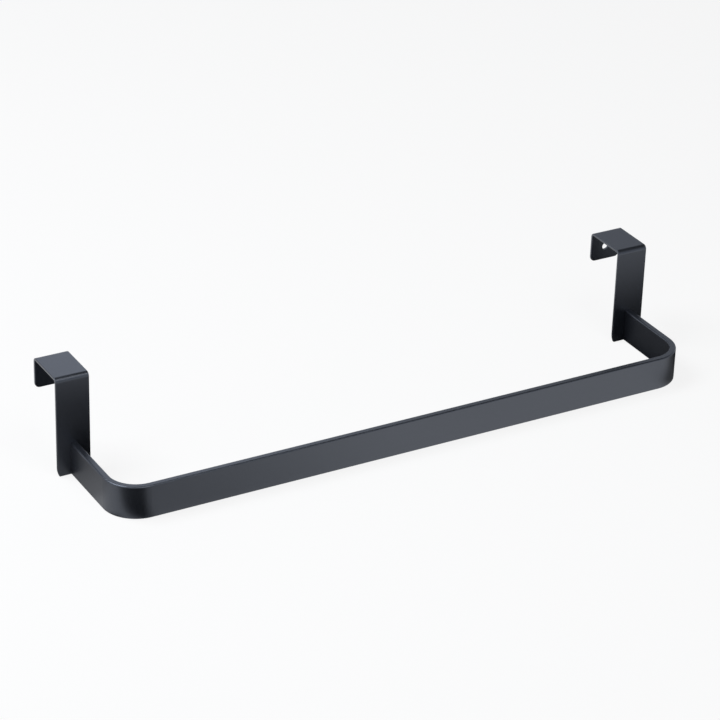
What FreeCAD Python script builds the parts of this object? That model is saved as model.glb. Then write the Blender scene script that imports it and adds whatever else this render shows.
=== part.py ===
import FreeCAD, Part
import math
import os

import Sketcher
from FreeCAD import Vector

# Over-cabinet towel bar of black coated flat steel.
# Two hooks, each one strip folded twice, hang over the top edge of a cabinet door.
# A flat bar bent into a U is butted against the fronts of their long legs.
# Millimetres, +Z up, +Y towards the inside of the cabinet, +X along the bar.
# The origin is under the middle of the whole part, on the level of its lowest edges.


# Driving dimensions

DRIVING_SIZES = (
    ("strip_width", 20.0, "width of the strip that each hook is folded from"),
    ("strip_thickness", 1.5, "thickness of that strip"),
    ("strip_fold_radius", 1.2, "inside radius of the hook's two folds"),
    ("strip_edge_radius", 0.35, "rounding of the strip's cut edges"),
    ("door_gap", 27.0, "clear space between the leg's back and the lip"),
    ("hook_height", 61.0, "from the leg's end to the top of the top plate"),
    ("lip_height", 19.0, "from the lip's end to the top of the top plate"),
    ("lip_corner_radius", 3.0, "rounding of the lip's two lower corners"),
    ("leg_corner_rise", 5.5, "height over which the leg's end draws in"),
    ("leg_corner_inset", 1.3, "how far each side of the leg's end draws in"),
    ("screw_hole_diameter", 4.5, "hole through the lip for a fixing screw"),
    ("screw_hole_drop", 10.5, "from the top of the top plate to the hole's centre"),
    ("hook_spacing", 365.0, "between the middles of the two hooks"),
    ("bar_width", 20.0, "height of the bar, which stands on edge"),
    ("bar_thickness", 4.0, "thickness of the bar"),
    ("bar_bend_radius", 16.0, "inside radius of the bar's two corners"),
    ("bar_edge_radius", 0.8, "rounding of the bar's four long edges"),
    ("bar_projection", 62.0, "from the legs' fronts to the bar's front face"),
)

# Relations between the sizes, as expressions on the sheet

HOOK_DEPTH = "Sizes.door_gap + 2 * Sizes.strip_thickness"
LEG_FRONT_Y = f"(Sizes.bar_projection - ({HOOK_DEPTH})) / 2"
HALF_SPACING = "Sizes.hook_spacing / 2"

# Tolerances for telling edges apart: a distance, and the cosine between the outward
# directions of two faces, under which the edge between them is sharp

SAME_PLACE = 1e-4
SHARP_EDGE_COSINE = 0.5


def add_sheet(doc):
    """Write the driving dimensions into a sheet, one row each, and name their cells."""
    sheet = doc.addObject("Spreadsheet::Sheet", "Sizes")
    for row, (alias, value, meaning) in enumerate(DRIVING_SIZES, start=1):
        sheet.set(f"A{row}", alias)
        sheet.set(f"B{row}", str(value))
        sheet.setAlias(f"B{row}", alias)
        sheet.set(f"C{row}", meaning)
    doc.recompute()
    return sheet


def origin_plane(body, role):
    """Return the body's own origin plane with this role."""
    return next(plane for plane in body.Origin.OriginFeatures if plane.Role == role)


def add_sketch(body, name, role):
    """Make a sketch on one of the body's origin planes."""
    sketch = body.newObject("Sketcher::SketchObject", name)
    sketch.AttachmentSupport = (origin_plane(body, role), [""])
    sketch.MapMode = "FlatFace"
    return sketch


def constrain_sketch(sketch, rules, dimensions):
    """Add the rules and the named dimensions together, and tie each dimension to the sheet.

    The outline is drawn true to size, so the solver starts from its own solution.
    """
    sketch.addConstraint(rules + [constraint for _, _, constraint in dimensions])
    for index, (name, expression, _) in enumerate(dimensions, start=len(rules)):
        sketch.renameConstraint(index, name)
        sketch.setExpression(f"Constraints.{name}", expression)


# Points of a line or an arc, and the sketch's own axes, by the numbers that a constraint takes

START, END, CENTRE = range(1, 4)
ROOT, VERTICAL_AXIS = range(-1, -3, -1)


def draw_loop(sketch, corners, arcs):
    """Draw a closed outline of upright and level lines joined by quarter turns.

    Side n runs from corner n to the next one. Where arcs gives side n a centre, it is a quarter
    turn about that centre, and it leaves both neighbours along them because its centre is level
    with one end and upright over or under the other. The rules that hold the outline together
    are returned.
    """
    count = len(corners)
    for side in range(count):
        first = Vector(*corners[side], 0)
        last = Vector(*corners[(side + 1) % count], 0)
        if side in arcs:
            sketch.addGeometry(arc_between(Vector(*arcs[side], 0), first, last))
        else:
            sketch.addGeometry(Part.LineSegment(first, last))
    constrain = Sketcher.Constraint
    rules = []
    for side in range(count):
        following = (side + 1) % count
        meeting = Vector(*corners[following], 0)
        ends = (end_at(sketch, side, meeting), end_at(sketch, following, meeting))
        rules.append(constrain("Coincident", side, ends[0], following, ends[1]))
    for side in range(count):
        geometry = sketch.Geometry[side]
        points = {START: geometry.StartPoint, END: geometry.EndPoint}
        if side in arcs:
            for end, point in points.items():
                level = same(point.y, geometry.Center.y)
                kind = "Horizontal" if level else "Vertical"
                rules.append(constrain(kind, side, CENTRE, side, end))
        else:
            level = same(points[START].y, points[END].y)
            rules.append(constrain("Horizontal" if level else "Vertical", side))
    return rules


def arc_between(centre, first, last):
    """Return the short arc about a centre between two points, run anticlockwise."""
    if (first - centre).cross(last - centre).z < 0:
        first, last = last, first
    begin = math.atan2(first.y - centre.y, first.x - centre.x)
    finish = math.atan2(last.y - centre.y, last.x - centre.x)
    if finish < begin:
        finish += 2 * math.pi
    circle = Part.Circle(centre, Vector(0, 0, 1), (first - centre).Length)
    return Part.ArcOfCircle(circle, begin, finish)


def end_at(sketch, side, point):
    """Say which end of a side lies at a point: an arc may run against its outline."""
    starts_there = sketch.Geometry[side].StartPoint.distanceToPoint(point) < SAME_PLACE
    return START if starts_there else END


def add_pad(body, name, sketch, length):
    """Thicken a sketch by a length from the sheet."""
    pad = body.newObject("PartDesign::Pad", name)
    pad.Profile = sketch
    pad.setExpression("Length", length)
    return pad


def add_fillet(body, name, base, edges, radius):
    """Round the named edges of the feature before this one."""
    fillet = body.newObject("PartDesign::Fillet", name)
    fillet.Base = (base, edges)
    fillet.setExpression("Radius", radius)
    return fillet


def edge_names(shape, wanted):
    """Name the edges of a shape that a test picks out."""
    return [f"Edge{number}" for number, edge in enumerate(shape.Edges, start=1) if wanted(edge)]


def same(first, second):
    return abs(first - second) < SAME_PLACE


# Hooks

HOOK_LEG_FRONT, HOOK_LEG_FOLD, HOOK_TOP, HOOK_LIP_FOLD = range(4)
HOOK_LIP_BACK, HOOK_LIP_END, HOOK_LIP_FRONT, HOOK_LIP_INNER_FOLD = range(4, 8)
HOOK_TOP_UNDER, HOOK_LEG_INNER_FOLD, HOOK_LEG_BACK, HOOK_LEG_END = range(8, 12)


def draw_hook_outline(body, sheet):
    """Side view of the folded strip, from the end of its leg round to the end of its lip."""
    thick = sheet.strip_thickness
    depth = sheet.door_gap + 2 * thick
    top = sheet.hook_height
    lip_end = top - sheet.lip_height
    outer = sheet.strip_fold_radius + thick
    fold_level = top - outer
    corners = [
        (0, 0),
        (0, fold_level),
        (outer, top),
        (depth - outer, top),
        (depth, fold_level),
        (depth, lip_end),
        (depth - thick, lip_end),
        (depth - thick, fold_level),
        (depth - outer, top - thick),
        (outer, top - thick),
        (thick, fold_level),
        (thick, 0),
    ]
    leg_centre = (outer, fold_level)
    lip_centre = (depth - outer, fold_level)
    arcs = {
        HOOK_LEG_FOLD: leg_centre,
        HOOK_LEG_INNER_FOLD: leg_centre,
        HOOK_LIP_FOLD: lip_centre,
        HOOK_LIP_INNER_FOLD: lip_centre,
    }
    sketch = add_sketch(body, f"{body.Name}_side_view", "YZ_Plane")
    rules = draw_loop(sketch, corners, arcs)
    constrain = Sketcher.Constraint
    rules += [
        constrain("Coincident", HOOK_LEG_FOLD, CENTRE, HOOK_LEG_INNER_FOLD, CENTRE),
        constrain("Coincident", HOOK_LIP_FOLD, CENTRE, HOOK_LIP_INNER_FOLD, CENTRE),
        constrain("Equal", HOOK_LEG_INNER_FOLD, HOOK_LIP_INNER_FOLD),
        constrain("Coincident", HOOK_LEG_FRONT, START, ROOT, START),
    ]
    dimensions = [
        ("thickness", "Sizes.strip_thickness",
         constrain("DistanceX", HOOK_LEG_FRONT, START, HOOK_LEG_BACK, END, thick)),
        ("fold", "Sizes.strip_fold_radius",
         constrain("Radius", HOOK_LEG_INNER_FOLD, sheet.strip_fold_radius)),
        ("height", "Sizes.hook_height",
         constrain("DistanceY", HOOK_LEG_FRONT, START, HOOK_TOP, START, top)),
        ("depth", HOOK_DEPTH,
         constrain("DistanceX", HOOK_LEG_FRONT, START, HOOK_LIP_BACK, END, depth)),
        ("lip", "Sizes.lip_height",
         constrain("DistanceY", HOOK_LIP_BACK, END, HOOK_TOP, END, sheet.lip_height)),
    ]
    constrain_sketch(sketch, rules, dimensions)
    return sketch


def cut_screw_hole(body, sheet):
    """Drill the lip for a screw into the back of the door. The leg in front stays whole."""
    sketch = add_sketch(body, f"{body.Name}_screw_circle", "XZ_Plane")
    sketch.setExpression("AttachmentOffset.Base.z", f"-({HOOK_DEPTH})")
    level = sheet.hook_height - sheet.screw_hole_drop
    radius = sheet.screw_hole_diameter / 2
    sketch.addGeometry(Part.Circle(Vector(0, level, 0), Vector(0, 0, 1), radius))
    constrain = Sketcher.Constraint
    rules = [constrain("PointOnObject", 0, CENTRE, VERTICAL_AXIS)]
    dimensions = [
        ("diameter", "Sizes.screw_hole_diameter",
         constrain("Diameter", 0, sheet.screw_hole_diameter)),
        ("level", "Sizes.hook_height - Sizes.screw_hole_drop",
         constrain("DistanceY", ROOT, START, 0, CENTRE, level)),
    ]
    constrain_sketch(sketch, rules, dimensions)
    hole = body.newObject("PartDesign::Pocket", f"{body.Name}_screw_hole")
    hole.Profile = sketch
    hole.Reversed = True
    hole.setExpression("Length", "Sizes.strip_thickness")
    return hole


def draw_leg_corner(sketch, sheet, side):
    """Draw what is cut from one corner of the leg's end, and return its rules and dimensions.

    An arc leaves the strip's side edge and reaches the end of the leg further in. The rest of
    the outline stays clear of the strip.
    """
    half = sheet.strip_width / 2
    rise = sheet.leg_corner_rise
    inset = sheet.leg_corner_inset
    clear = sheet.strip_thickness
    radius = (rise ** 2 + inset ** 2) / (2 * inset)
    centre = Vector(side * (half - radius), rise, 0)
    on_side = Vector(side * half, rise, 0)
    on_end = Vector(side * (half - inset), 0, 0)
    below = Vector(on_end.x, -clear, 0)
    outside_low = Vector(side * (half + clear), -clear, 0)
    outside_high = Vector(outside_low.x, rise, 0)
    arc = sketch.addGeometry(arc_between(centre, on_side, on_end))
    path = (on_end, below, outside_low, outside_high, on_side)
    lines = [sketch.addGeometry(Part.LineSegment(*ends)) for ends in zip(path, path[1:])]
    down, across, upright, back = lines
    arc_side = end_at(sketch, arc, on_side)
    arc_end = end_at(sketch, arc, on_end)
    constrain = Sketcher.Constraint
    rules = [
        constrain("Coincident", arc, arc_end, down, START),
        constrain("Coincident", down, END, across, START),
        constrain("Coincident", across, END, upright, START),
        constrain("Coincident", upright, END, back, START),
        constrain("Coincident", back, END, arc, arc_side),
        constrain("Vertical", down),
        constrain("Horizontal", across),
        constrain("Vertical", upright),
        constrain("Horizontal", back),
        constrain("Horizontal", arc, CENTRE, arc, arc_side),
        constrain("PointOnObject", arc, arc_end, ROOT),
    ]
    from_middle = (ROOT, START, arc, arc_side)
    inwards = (arc, arc_end, arc, arc_side)
    outwards = (arc, arc_side, across, END)
    if side < 0:
        from_middle, inwards, outwards = (ends[2:] + ends[:2]
                                          for ends in (from_middle, inwards, outwards))
    label = "left" if side < 0 else "right"
    dimensions = [
        (f"{label}_half", "Sizes.strip_width / 2", constrain("DistanceX", *from_middle, half)),
        (f"{label}_inset", "Sizes.leg_corner_inset", constrain("DistanceX", *inwards, inset)),
        (f"{label}_rise", "Sizes.leg_corner_rise",
         constrain("DistanceY", arc, arc_end, arc, arc_side, rise)),
        (f"{label}_clear", "Sizes.strip_thickness", constrain("DistanceX", *outwards, clear)),
        (f"{label}_below", "Sizes.strip_thickness",
         constrain("DistanceY", across, END, arc, arc_end, clear)),
    ]
    return rules, dimensions


def cut_leg_corners(body, sheet):
    """Draw in both sides of the leg's end."""
    sketch = add_sketch(body, f"{body.Name}_leg_corners", "XZ_Plane")
    rules = []
    dimensions = []
    for side in (-1, 1):
        corner_rules, corner_dimensions = draw_leg_corner(sketch, sheet, side)
        rules += corner_rules
        dimensions += corner_dimensions
    constrain_sketch(sketch, rules, dimensions)
    cut = body.newObject("PartDesign::Pocket", f"{body.Name}_leg_end")
    cut.Profile = sketch
    cut.SideType = "Symmetric"
    cut.setExpression("Length", "4 * Sizes.strip_thickness")
    return cut


def is_lip_corner(edge, sheet):
    """Tell the two short edges across the thickness at the lip's lower corners."""
    level = sheet.hook_height - sheet.lip_height
    points = [vertex.Point for vertex in edge.Vertexes]
    across = len(points) == 2 and same(edge.Length, sheet.strip_thickness)
    outer = all(same(abs(point.x), sheet.strip_width / 2) for point in points)
    return across and outer and all(same(point.z, level) for point in points)


def is_cut_edge(edge, shape, hole_level):
    """Tell the sharp edges left by shearing: they are not in the hole and not smooth."""
    faces = shape.ancestorsOfType(edge, Part.Face)
    if len(faces) != 2:
        return False
    if any(isinstance(face.Surface, Part.Cylinder) and same(face.Surface.Center.z, hole_level)
           for face in faces):
        return False
    point = edge.valueAt((edge.FirstParameter + edge.LastParameter) / 2)
    normals = [face.normalAt(*face.Surface.parameter(point)) for face in faces]
    return abs(normals[0].dot(normals[1])) < SHARP_EDGE_COSINE


def build_hook(doc, sheet, name, side):
    """One folded strip with its screw hole, eased corners and softened cut edges."""
    body = doc.addObject("PartDesign::Body", name)
    body.Label = name
    outline = draw_hook_outline(body, sheet)
    strip = add_pad(body, f"{name}_strip", outline, "Sizes.strip_width")
    strip.SideType = "Symmetric"
    doc.recompute()
    solid_volume = strip.Shape.Volume

    hole = cut_screw_hole(body, sheet)
    doc.recompute()
    drilled_volume = hole.Shape.Volume
    leg_end = cut_leg_corners(body, sheet)
    doc.recompute()
    eased_volume = leg_end.Shape.Volume
    if not solid_volume > drilled_volume > eased_volume:
        raise RuntimeError(f"{name}: a cut took nothing away")

    corners = edge_names(leg_end.Shape, lambda edge: is_lip_corner(edge, sheet))
    lip = add_fillet(body, f"{name}_lip_corners", leg_end, corners, "Sizes.lip_corner_radius")
    doc.recompute()
    hole_level = sheet.hook_height - sheet.screw_hole_drop
    rims = edge_names(lip.Shape, lambda edge: is_cut_edge(edge, lip.Shape, hole_level))
    softened = add_fillet(body, f"{name}_edges", lip, rims, "Sizes.strip_edge_radius")
    body.Tip = softened
    body.setExpression("Placement.Base.x", f"{side} * {HALF_SPACING}")
    body.setExpression("Placement.Base.y", LEG_FRONT_Y)
    return body


# Towel bar

BAR_LEFT_OUTSIDE, BAR_LEFT_BEND, BAR_FRONT, BAR_RIGHT_BEND = range(4)
BAR_RIGHT_OUTSIDE, BAR_RIGHT_END, BAR_RIGHT_INSIDE, BAR_RIGHT_INNER_BEND = range(4, 8)
BAR_BACK, BAR_LEFT_INNER_BEND, BAR_LEFT_INSIDE, BAR_LEFT_END = range(8, 12)


def draw_bar_outline(body, sheet):
    """View from above: two arms and the rail, with an arm centred on each hook."""
    thick = sheet.bar_thickness
    half = (sheet.hook_spacing + thick) / 2
    front = -sheet.bar_projection
    outer = sheet.bar_bend_radius + thick
    bend = front + outer
    corners = [
        (-half, 0),
        (-half, bend),
        (outer - half, front),
        (half - outer, front),
        (half, bend),
        (half, 0),
        (half - thick, 0),
        (half - thick, bend),
        (half - outer, front + thick),
        (outer - half, front + thick),
        (thick - half, bend),
        (thick - half, 0),
    ]
    left_centre = (outer - half, bend)
    right_centre = (half - outer, bend)
    arcs = {
        BAR_LEFT_BEND: left_centre,
        BAR_LEFT_INNER_BEND: left_centre,
        BAR_RIGHT_BEND: right_centre,
        BAR_RIGHT_INNER_BEND: right_centre,
    }
    sketch = add_sketch(body, "towel_bar_plan", "XY_Plane")
    rules = draw_loop(sketch, corners, arcs)
    constrain = Sketcher.Constraint
    rules += [
        constrain("Coincident", BAR_LEFT_BEND, CENTRE, BAR_LEFT_INNER_BEND, CENTRE),
        constrain("Coincident", BAR_RIGHT_BEND, CENTRE, BAR_RIGHT_INNER_BEND, CENTRE),
        constrain("Equal", BAR_LEFT_INNER_BEND, BAR_RIGHT_INNER_BEND),
        constrain("PointOnObject", BAR_LEFT_END, START, ROOT),
        constrain("Symmetric", BAR_LEFT_END, START, BAR_RIGHT_END, END, ROOT, START),
    ]
    dimensions = [
        ("thickness", "Sizes.bar_thickness",
         constrain("DistanceX", BAR_LEFT_OUTSIDE, START, BAR_LEFT_INSIDE, END, thick)),
        ("bend", "Sizes.bar_bend_radius",
         constrain("Radius", BAR_LEFT_INNER_BEND, sheet.bar_bend_radius)),
        ("half_width", f"{HALF_SPACING} + Sizes.bar_thickness / 2",
         constrain("DistanceX", BAR_LEFT_OUTSIDE, START, ROOT, START, half)),
        ("projection", "Sizes.bar_projection",
         constrain("DistanceY", BAR_FRONT, START, BAR_LEFT_OUTSIDE, START,
                   sheet.bar_projection)),
    ]
    constrain_sketch(sketch, rules, dimensions)
    return sketch


def is_long_edge(edge, sheet):
    """Tell the edges that run along the bar, above and below, from those at its welded ends."""
    points = [vertex.Point for vertex in edge.Vertexes]
    level = same(points[0].z, points[-1].z)
    at_end = all(same(point.y, 0) for point in points)
    return level and not at_end and (same(points[0].z, 0) or same(points[0].z, sheet.bar_width))


def build_bar(doc, sheet, name):
    """The flat bar bent into a U, with its mill-rounded long edges."""
    body = doc.addObject("PartDesign::Body", name)
    body.Label = name
    plan = draw_bar_outline(body, sheet)
    flat = add_pad(body, "towel_bar_flat", plan, "Sizes.bar_width")
    doc.recompute()
    edges = edge_names(flat.Shape, lambda edge: is_long_edge(edge, sheet))
    softened = add_fillet(body, "towel_bar_edges", flat, edges, "Sizes.bar_edge_radius")
    body.Tip = softened
    body.setExpression("Placement.Base.y", LEG_FRONT_Y)
    return body


# Checks and export


def check(doc, bodies):
    """Stop if any feature failed or any piece is not one sound solid."""
    doc.recompute()
    for item in doc.Objects:
        if "Invalid" in item.State or "Error" in item.State:
            raise RuntimeError(f"{item.Label} is in state {item.State}")
    for body in bodies:
        shape = body.Shape
        if shape.isNull() or not shape.isValid() or len(shape.Solids) != 1:
            raise RuntimeError(f"{body.Label} is not one valid solid")


def report(bodies):
    """Print each piece's volume and reach."""
    for body in bodies:
        box = body.Shape.BoundBox
        print(f"{body.Label}: {body.Shape.Volume:.1f} mm3, {len(body.Shape.Faces)} faces,"
              f" x {box.XMin:.2f} to {box.XMax:.2f}, y {box.YMin:.2f} to {box.YMax:.2f},"
              f" z {box.ZMin:.2f} to {box.ZMax:.2f}")


def main():
    doc = FreeCAD.newDocument("TowelBar")
    sheet = add_sheet(doc)
    bodies = [
        build_hook(doc, sheet, "left_hook", -1),
        build_hook(doc, sheet, "right_hook", 1),
        build_bar(doc, sheet, "towel_bar"),
    ]
    check(doc, bodies)
    report(bodies)
    os.makedirs("parts", exist_ok=True)
    for body in bodies:
        body.Shape.exportStep(f"parts/{body.Label}.step")


main()
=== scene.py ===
# %% [markdown]
# Over-cabinet towel bar
#
# Two strips of black coated steel are folded to hang over a cabinet door, and a flat bar bent
# into a U is welded to their fronts. The packed model already has these three pieces in their
# exact shapes, so they are loaded as they are. This lesson adds what the solids leave out: the
# powder coat that covers them, and a studio to see them in.

# %% Load the packed model
import math

import bpy
import numpy as np
from mathutils import Matrix, Vector


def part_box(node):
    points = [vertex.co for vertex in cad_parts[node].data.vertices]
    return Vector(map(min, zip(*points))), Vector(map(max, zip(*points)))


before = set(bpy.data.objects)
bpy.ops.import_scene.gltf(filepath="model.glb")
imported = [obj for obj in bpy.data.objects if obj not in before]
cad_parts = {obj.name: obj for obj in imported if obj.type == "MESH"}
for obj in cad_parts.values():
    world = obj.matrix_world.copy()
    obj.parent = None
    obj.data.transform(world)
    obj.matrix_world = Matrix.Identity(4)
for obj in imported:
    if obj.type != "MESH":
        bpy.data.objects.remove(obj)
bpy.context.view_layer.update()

MM = 0.001
for name in sorted(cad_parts):
    low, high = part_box(name)
    print(name, "mm:", [round(side / MM, 2) for side in high - low])

# %% [markdown]
# The camera
#
# A picture fixes its own viewpoint. One could move a camera by hand until the view looks right,
# but an angle found by eye is easily a few degrees out. So straight edges of the strips and of
# the bar were measured in the photograph, and a camera was fitted until the same edges of the
# model fell on them. The answer is a long lens, some way off, looking down from the left. It is
# written here as a point that the camera looks at, a heading, an angle down, a small roll and a
# distance.

# %% Place the camera
FOCAL_LENGTH_MM = 146.5
FILM_WIDTH_MM = 36.0
LOOK_AT = Vector((-2.95, 16.0, 28.99)) * MM
HEADING = math.radians(29.76)
ANGLE_DOWN = math.radians(27.83)
ROLL = math.radians(1.68)
DISTANCE = 1684.5 * MM
FARTHEST_SEEN = 20.0


def direction(heading, lift):
    """A unit vector: the heading turns from +Y toward +X, and the lift is the angle above level."""
    level = math.cos(lift)
    return Vector((math.sin(heading) * level, math.cos(heading) * level, math.sin(lift)))


def camera_axes(heading, down, roll):
    """Right, up and forward: up is square to the other two, and the roll turns about forward."""
    forward = direction(heading, -down)
    level = Vector((math.cos(heading), -math.sin(heading), 0.0))
    upright = level.cross(forward)
    right = level * math.cos(roll) + upright * math.sin(roll)
    return right, right.cross(forward), forward


right, up, forward = camera_axes(HEADING, ANGLE_DOWN, ROLL)
lens = bpy.data.cameras.new("camera")
lens.sensor_fit = "HORIZONTAL"
lens.sensor_width = FILM_WIDTH_MM
lens.lens = FOCAL_LENGTH_MM
lens.clip_end = FARTHEST_SEEN
camera = bpy.data.objects.new("camera", lens)
bpy.context.scene.collection.objects.link(camera)
turned = Matrix((right, up, -forward)).transposed().to_4x4()
camera.matrix_world = Matrix.Translation(LOOK_AT - forward * DISTANCE) @ turned
bpy.context.scene.camera = camera
print("camera at", [round(v, 3) for v in camera.matrix_world.translation], "m")

# %% [markdown]
# Shader maths as arithmetic
#
# A procedural finish is a small calculation that is made at every point of the surface. It could
# be built node by node, but then a sum of four terms takes twenty lines and is hard to read. The
# class below wraps the output of a node instead, so that an expression such as 1 - mask * 0.5
# adds the Math nodes that work it out.

# %% Wrap a socket in arithmetic
class Socket:
    """An output of a node. Arithmetic on it adds Math nodes."""

    def __init__(self, finish, output):
        self.finish = finish
        self.output = output

    def math(self, operation, first, second):
        return self.finish.node("ShaderNodeMath", {"operation": operation}, {0: first, 1: second})

    def __add__(self, other):
        return self.math("ADD", self, other)

    def __sub__(self, other):
        return self.math("SUBTRACT", self, other)

    def __rsub__(self, other):
        return self.math("SUBTRACT", other, self)

    def __mul__(self, other):
        return self.math("MULTIPLY", self, other)

    __radd__ = __add__
    __rmul__ = __mul__


print("a socket now takes +, - and *")

# %% [markdown]
# One call for any other node
#
# Noise, colours and shaders are not arithmetic, so each needs a node of its own. They all come
# from one method, which adds the node, sets it up, and then fills its inputs with values or with
# links. A material and the room's background both have such a tree of nodes, so the same class
# serves both.

# %% Make any node with one call
class Finish:
    """The tree of nodes of a material, or of the world."""

    def __init__(self, owner):
        owner.use_nodes = True
        self.owner = owner
        self.tree = owner.node_tree
        self.tree.nodes.clear()

    def node(self, kind, settings=None, inputs=None, output=0):
        """Add a node, set it up, then fill its sockets with values or links."""
        made = self.tree.nodes.new(kind)
        for setting, value in (settings or {}).items():
            setattr(made, setting, value)
        for key, value in (inputs or {}).items():
            socket = self.find(made.inputs, key)
            if isinstance(value, Socket):
                self.tree.links.new(value.output, socket)
            else:
                socket.default_value = value
        return Socket(self, self.find(made.outputs, output)) if len(made.outputs) else None

    @staticmethod
    def find(sockets, key):
        """Find a socket by its number, its identifier or its name."""
        if isinstance(key, int):
            return sockets[key]
        return next((s for s in sockets if s.identifier == key), None) or sockets[key]

    def surface(self, shader, output_kind="ShaderNodeOutputMaterial"):
        """Send a shader to the output, and give back the material or world that shows it."""
        self.node(output_kind, None, {"Surface": shader})
        return self.owner


print("one call:", Finish.node.__doc__)

# %% [markdown]
# The powder coat
#
# The steel is sprayed with a dry powder that melts into one skin. It is a black with a little
# blue in it, and nearly matte. Close up it is not flat: the skin dries in a very fine grain with
# slower waves under it, and it flows thin over sharp edges, which are smoother than the flats.
# Those edges are also painted a shade lighter, a painted highlight along the sharp edges. A
# painted picture could show the grain and waves, but it would need the pieces laid out flat, and
# it would blur close up. So the grain and the waves are noise read from the object's own
# coordinates in metres: their size is real, and they stay put when the part moves.

# %% Choose the coat's colours and sizes
COAT_FLAT = (0.0046, 0.0052, 0.0070, 1.0)
# A painted highlight: sharp edges are painted a shade lighter than the flats
PAINTED_EDGE_HIGHLIGHT = (0.0086, 0.0096, 0.0124, 1.0)
COAT_GLINT = (0.78, 0.85, 1.0, 1.0)
COAT_IOR = 1.95
GRAIN_MM = 0.45
WAVE_MM = 3.5
CLOUD_MM = 40.0
EDGE_REACH_MM = 0.9
EDGE_SAMPLES = 6
EDGE_GAIN = 9.0
# How far each pattern moves the tone from flat toward the painted edge highlight, the roughness, and the
# skin's height
TONE = {"base": 0.1, "edge": 0.6, "cloud": 0.3, "grain": 0.25}
ROUGHNESS = {"base": 0.36, "edge": 0.05, "cloud": 0.08, "grain": 0.12}
HEIGHT = {"grain": 0.35, "wave": 0.65}
RELIEF_STRENGTH = 0.35
RELIEF_MM = 0.02
print("grain, waves and clouds, mm:", GRAIN_MM, WAVE_MM, CLOUD_MM)


# %% Mix the powder coat
NOISE_MIDDLE = 0.5
FINE_DETAIL = 2.0
PLAIN_DETAIL = 1.0


def per_metre(size_mm):
    """A noise scale whose features are about this long."""
    return 1.0 / (size_mm * MM)


def powder_coat(name):
    """Grain and waves set the height, and grain, cloud and edge set the tone and the roughness.

    An edge is where the surface's own direction departs from the direction smoothed over a small
    reach: edge = gain * (1 - own . smoothed), held between 0 and 1.
    """
    coat = Finish(bpy.data.materials.new(name))
    place = coat.node("ShaderNodeTexCoord", output="Object")

    def noise(size_mm, detail):
        return coat.node("ShaderNodeTexNoise", {"noise_dimensions": "3D"},
                         {"Vector": place, "Scale": per_metre(size_mm), "Detail": detail}, "Fac")

    grain = noise(GRAIN_MM, FINE_DETAIL)
    wave = noise(WAVE_MM, PLAIN_DETAIL)
    cloud = noise(CLOUD_MM, FINE_DETAIL)
    own = coat.node("ShaderNodeNewGeometry", output="Normal")
    smoothed = coat.node("ShaderNodeBevel", {"samples": EDGE_SAMPLES}, {"Radius": EDGE_REACH_MM * MM})
    facing = coat.node("ShaderNodeVectorMath", {"operation": "DOT_PRODUCT"}, {0: own, 1: smoothed}, "Value")
    edge = coat.node("ShaderNodeMath", {"operation": "MULTIPLY", "use_clamp": True},
                     {0: 1 - facing, 1: EDGE_GAIN})
    clouded = cloud - NOISE_MIDDLE
    grained = grain - NOISE_MIDDLE
    # The edge share paints a highlight along sharp edges; the cloud and grain shares are the coat's own
    # random tone
    share = edge * TONE["edge"] + clouded * TONE["cloud"] + grained * TONE["grain"] + TONE["base"]
    tone = coat.node("ShaderNodeMix", {"data_type": "RGBA"},
                     {"Factor_Float": share, "A_Color": COAT_FLAT, "B_Color": PAINTED_EDGE_HIGHLIGHT}, "Result_Color")
    roughness = (ROUGHNESS["base"] + grained * ROUGHNESS["grain"] + clouded * ROUGHNESS["cloud"]
                 - edge * ROUGHNESS["edge"])
    height = grain * HEIGHT["grain"] + wave * HEIGHT["wave"]
    relief = coat.node("ShaderNodeBump", None,
                       {"Height": height, "Strength": RELIEF_STRENGTH, "Distance": RELIEF_MM * MM})
    skin = coat.node("ShaderNodeBsdfPrincipled", None,
                     {"Base Color": tone, "Roughness": roughness, "Normal": relief,
                      "IOR": COAT_IOR, "Specular Tint": COAT_GLINT})
    return coat.surface(skin)


coat = powder_coat("black_powder_coat")
print("coat nodes:", len(coat.node_tree.nodes))

# %% [markdown]
# Coating the steel
#
# The powder goes on after welding, in one pass over the whole object. Each piece could have a
# material of its own, but they would be alike, so all three carry this one.

# %% Coat the three pieces
for name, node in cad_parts.items():
    node.data.materials.clear()
    node.data.materials.append(coat)
    print(name, "wears", node.data.materials[0].name)

# %% [markdown]
# Dark cards for the reflections
#
# A black object on a white sheet mirrors nothing but white, and loses its form, so a photographer
# lays dark cards beside it, outside the picture. They could be real boards here too, but then the
# camera would see them from other sides. So they are painted: areas of the floor that are dark to
# reflections only, and the dark they put on the object is painted reflection. Each is a rectangle
# with soft edges and a depth, where 1 is black. One draws the dark band round the left bend, and
# one the dark far side of the right bend. Two behind the rail stand in for the rail's shade on the
# floor there, and darken the legs toward their feet. Paler ones to the left let the rail brighten
# slowly to the right and the left arm darken toward its leg, and one at the front right tones down
# the top of the right leg.

# %% Set out the dark cards
FAR_MM = 3000.0
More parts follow.
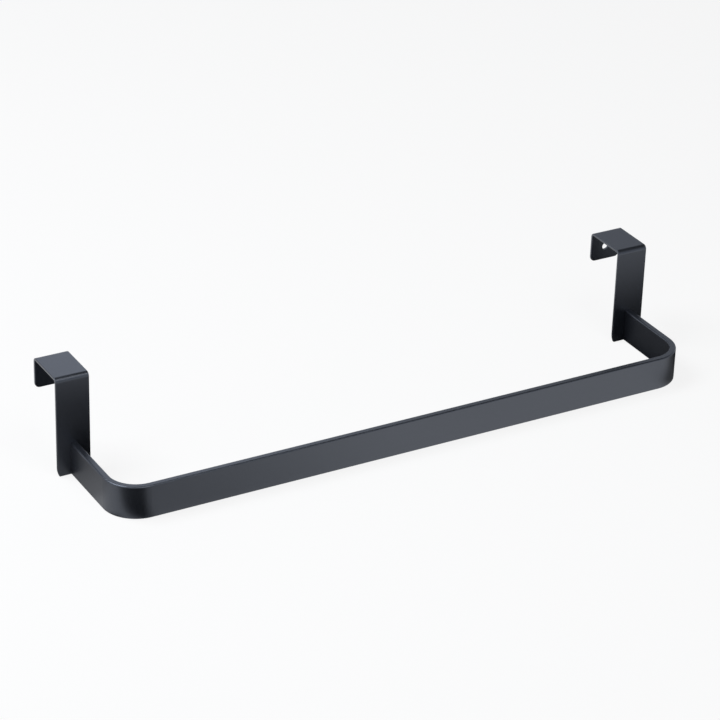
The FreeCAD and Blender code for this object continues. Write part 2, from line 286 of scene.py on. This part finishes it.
# For each card: its left and right edges in x and their softness, its front and back edges in y
# and their softness, and its depth
DARK_CARDS_MM = {
    "left corner": ((-240.0, -164.0), 6.0, (-160.0, -46.0), 4.0, 1.0),
    "right corner": ((173.0, 330.0), 8.0, (-56.0, 65.0), 10.0, 0.85),
    "right front": ((208.0, 330.0), 12.0, (-120.0, 65.0), 10.0, 0.38),
    "behind": ((-184.0, 250.0), 2.0, (-36.0, 65.0), 8.0, 0.90),
    "left foot": ((-184.0, -110.0), 2.0, (-36.0, 65.0), 8.0, 1.0),
    "front left": ((-FAR_MM, -70.0), 85.0, (-FAR_MM, -45.0), 8.0, 0.40),
    "beside left bend": ((-FAR_MM, -70.0), 85.0, (-45.0, -14.0), 8.0, 0.18),
    "left": ((-FAR_MM, -70.0), 85.0, (-14.0, 65.0), 8.0, 0.50),
    "left root": ((-210.0, -184.0), 4.0, (6.0, 65.0), 12.0, 0.30),
}


def rise(finish, value, start, end):
    """Go smoothly from 0 to 1 as a value goes from its start to its end."""
    return finish.node("ShaderNodeMapRange", {"interpolation_type": "SMOOTHSTEP"},
                       {"Value": value, "From Min": start, "From Max": end})


def between(finish, value, edges_mm, soft_mm):
    """1 between two soft edges and 0 beyond them: past the low edge and not past the high one."""
    past = [rise(finish, value, (edge - soft_mm) * MM, (edge + soft_mm) * MM) for edge in edges_mm]
    return past[0] - past[1]


def cards(finish):
    """How dark the cards are at a point: each leaves 1 - across * along * depth of it bare."""
    place = finish.node("ShaderNodeTexCoord", output="Object")
    x = finish.node("ShaderNodeSeparateXYZ", None, {0: place}, "X")
    y = finish.node("ShaderNodeSeparateXYZ", None, {0: place}, "Y")
    bare = 1.0
    for sides, side_softness, ends, end_softness, depth in DARK_CARDS_MM.values():
        across = between(finish, x, sides, side_softness)
        along = between(finish, y, ends, end_softness)
        bare = (1 - across * along * depth) * bare
    return 1 - bare


print("dark cards:", ", ".join(DARK_CARDS_MM))

# %% [markdown]
# The floor's finish
#
# The object stands on a plain pale floor. A floor lit at a plain level is a shade under white,
# and more lamps would wash out the object. So for rays that come straight from the camera, part
# of the floor's answer is replaced with plain white. The rest is still lit, so the object keeps
# its shadow. Rays that come by way of a reflection see that white too, but for the cards.

# %% Mix the floor's finish
WHITE = (1.0, 1.0, 1.0, 1.0)
FLOOR_COLOUR = (0.90, 0.90, 0.90, 1.0)
# The cards' colour: dark painted on the floor for reflections only, a painted reflection on the object
PAINTED_REFLECTION_DARK = (0.02, 0.02, 0.02, 1.0)
FLOOR_GLOW = 0.85


def ray(finish, kind):
    """1 for rays of one kind and 0 for others."""
    return finish.node("ShaderNodeLightPath", output=kind)


def mirrored_ray(finish):
    """1 for rays that come by way of a reflection or through glass, and 0 for others."""
    return ray(finish, "Is Glossy Ray") + ray(finish, "Is Transmission Ray")


def floor_finish(name):
    """Lit, with white laid over it for the camera in part and for reflections in full."""
    finish = Finish(bpy.data.materials.new(name))
    lit = finish.node("ShaderNodeBsdfDiffuse", None, {"Color": FLOOR_COLOUR})
    white = finish.node("ShaderNodeEmission", None, {"Color": WHITE, "Strength": 1.0})
    dark = finish.node("ShaderNodeBsdfDiffuse", None, {"Color": PAINTED_REFLECTION_DARK})
    mirrored = mirrored_ray(finish)
    whitened = ray(finish, "Is Camera Ray") * FLOOR_GLOW + mirrored
    pale = finish.node("ShaderNodeMixShader", None, {0: whitened, 1: lit, 2: white})
    # Reflections see the cards' painted dark; the camera sees the plain floor
    carded = cards(finish) * mirrored
    return finish.surface(finish.node("ShaderNodeMixShader", None, {0: carded, 1: pale, 2: dark}))


pale_floor = floor_finish("pale_floor")
print("floor finish nodes:", len(pale_floor.node_tree.nodes))

# %% [markdown]
# The floor
#
# The floor is a sheet so wide that its edges stay out of sight from above. Blender has a ready
# plane, but a surface worked out as a grid of points is the way to make any other shape too, so
# the simplest one is made like that here.

# %% Lay the floor
FLOOR_HALF_WIDTH = 6.0
FLOOR_LINES = 5


def grid_mesh(name, points):
    """Join a grid of points, rows by columns by 3, into a mesh of four-sided faces."""
    rows, columns = points.shape[:2]
    index = np.arange(rows * columns).reshape(rows, columns)
    faces = np.stack((index[:-1, :-1], index[:-1, 1:], index[1:, 1:], index[1:, :-1]), axis=-1)
    mesh = bpy.data.meshes.new(name)
    mesh.from_pydata(points.reshape(-1, 3).tolist(), [], faces.reshape(-1, 4).tolist())
    mesh.update()
    return mesh


def square_surface(name, half_width):
    """A level grid: x and y each run from minus to plus the half width, and z is 0."""
    lines = np.linspace(-half_width, half_width, FLOOR_LINES)
    x, y = np.meshgrid(lines, lines)
    return grid_mesh(name, np.stack((x, y, np.zeros_like(x)), axis=-1))


floor = bpy.data.objects.new("floor", square_surface("floor", FLOOR_HALF_WIDTH))
bpy.context.scene.collection.objects.link(floor)
floor.data.materials.append(pale_floor)
print("floor m:", [round(side, 2) for side in floor.dimensions])

# %% [markdown]
# The room
#
# The camera sees a white room. Walls could be built for it, but a background needs no shape and
# throws no shadow. Reflections see a pale one, as tall as a photographer's paper screen, with a
# dark ceiling above it, and that ceiling draws the dark line along each fold and edge. All other
# light from the room is dim, because the lamps light the object.

# %% Light the room
ROOM_LEVEL = 0.04
SCREEN_LEVEL = 0.68
SCREEN_TINT = (0.86, 0.91, 1.0, 1.0)
SCREEN_TOP = math.sin(math.radians(29))
CEILING = math.sin(math.radians(42))


def room_finish(name):
    """White for the camera, a pale screen up to the ceiling for reflections, and dim for the rest."""
    room = Finish(bpy.data.worlds.new(name))
    toward = room.node("ShaderNodeTexCoord", output="Generated")
    climb = room.node("ShaderNodeSeparateXYZ", None, {0: toward}, "Z")
    screened = mirrored_ray(room) * (1 - rise(room, climb, SCREEN_TOP, CEILING))
    dim = room.node("ShaderNodeBackground", None, {"Color": WHITE, "Strength": ROOM_LEVEL})
    screen = room.node("ShaderNodeBackground", None, {"Color": SCREEN_TINT, "Strength": SCREEN_LEVEL})
    white = room.node("ShaderNodeBackground", None, {"Color": WHITE, "Strength": 1.0})
    around = room.node("ShaderNodeMixShader", None, {0: screened, 1: dim, 2: screen})
    seen = ray(room, "Is Camera Ray")
    shown = room.node("ShaderNodeMixShader", None, {0: seen, 1: around, 2: white})
    return room.surface(shown, "ShaderNodeOutputWorld")


bpy.context.scene.world = room_finish("room")
print("room nodes:", len(bpy.context.scene.world.node_tree.nodes))

# %% [markdown]
# The lamps
#
# Four softboxes light the object at a plain level. Bare bulbs would do it too, but they leave
# hard shadows and pinpoint glints. One high at the left and one high in front light the floor and
# the folds, and one at the left side fills the sides. A weak, bluish one behind stands where the
# top of the left hook mirrors it, and so makes that top lighter than the right one.

# %% Hang the lamps
LAMP_REACH = 1.3
LAMP_SIDE = 0.66
NEUTRAL = (1.0, 1.0, 1.0)
COOL = (0.93, 0.96, 1.0)
SKY = (0.83, 0.885, 1.0)
# For each softbox: the heading in which it shines and its lift, in degrees, its watts and its tint
LAMPS = {
    "high_left": (120, 58, 11.0, COOL),
    "high_front": (0, 58, 4.3, NEUTRAL),
    "left": (90, 30, 3.5, SKY),
    "back": (-168, 30, 0.95, SKY),
}


def softbox(name, heading, lift, watts, tint):
    """A square lamp on a sphere round the object, at minus its shining direction times the reach."""
    light = bpy.data.lights.new(name, "AREA")
    light.shape = "SQUARE"
    light.size = LAMP_SIDE
    light.energy = watts
    light.color = tint
    holder = bpy.data.objects.new(name, light)
    bpy.context.scene.collection.objects.link(holder)
    shining = direction(math.radians(heading), -math.radians(lift))
    holder.location = -shining * LAMP_REACH
    holder.rotation_euler = shining.to_track_quat("-Z", "Y").to_euler()
    holder.visible_camera = False
    return holder


for name, settings in LAMPS.items():
    box = softbox(name, *settings)
    print(name, "at", [round(v, 2) for v in box.location], "m,", round(box.data.energy, 2), "W")

# %% [markdown]
# Showing colours plainly
#
# The colours are shown as they are written, so the view transform is the plain one.

# %% Show colours plainly
bpy.context.scene.view_settings.view_transform = "Standard"
